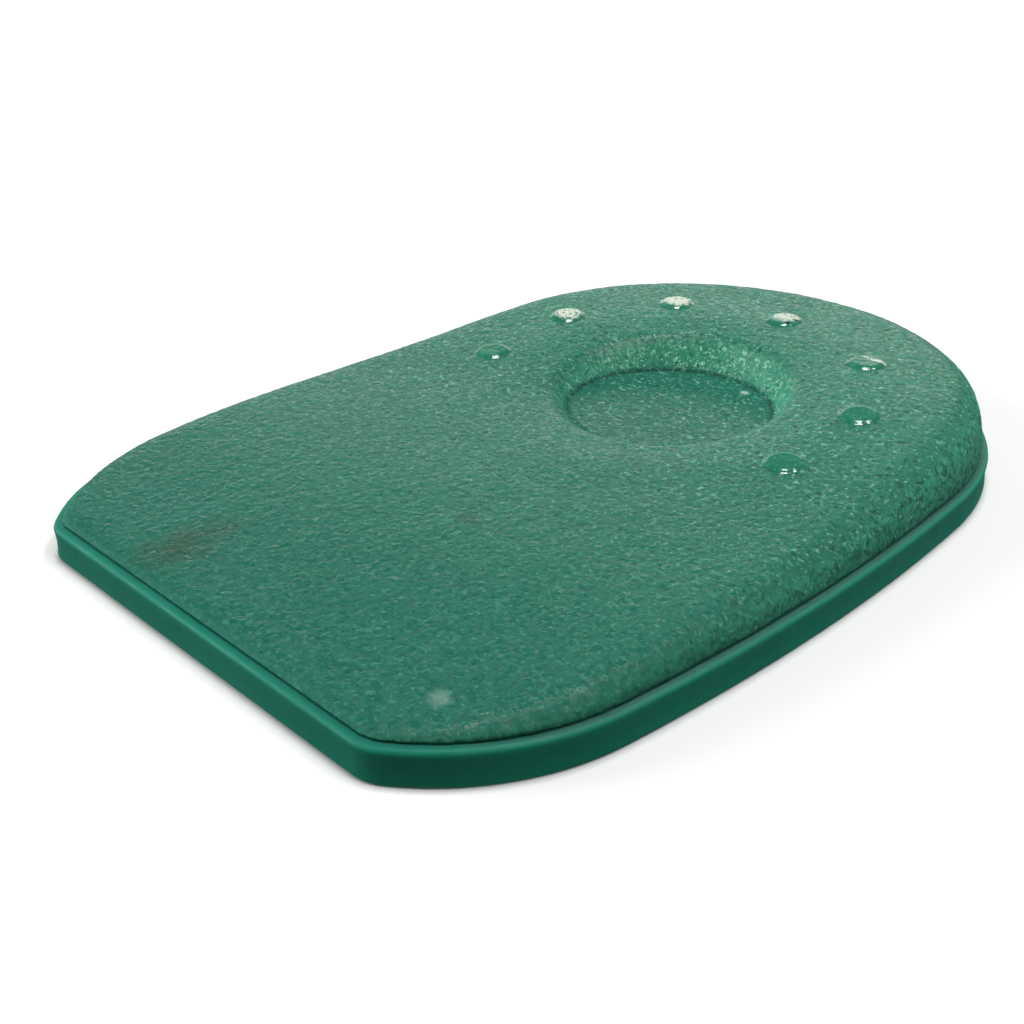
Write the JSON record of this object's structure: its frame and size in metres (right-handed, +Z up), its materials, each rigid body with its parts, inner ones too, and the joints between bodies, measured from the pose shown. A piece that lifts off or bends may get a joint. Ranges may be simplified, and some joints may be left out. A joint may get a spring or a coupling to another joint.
{
  "type": "gel heel pad",
  "caption": "Gel heel pad for a shoe: smooth flat base with a narrow ledge, and a grained wedge top that rises to a rounded heel, with a round recess and raised dots.",
  "frame": {"origin": "on the surface that the pad lies on, under the middle of its bounding box", "axes": "+Y along the pad's length from the straight front edge to the rounded heel, +Z up from the flat underside"},
  "size_m": [0.07, 0.096, 0.0102],
  "materials": {
    "smooth_gel": "smooth, slightly glossy green gel",
    "grained_gel": "fine pebbled grain with small glints"
  },
  "bodies": {
    "root": {"gel_base": "smooth_gel", "grained_top": "grained_gel"}
  },
  "joints": []
}
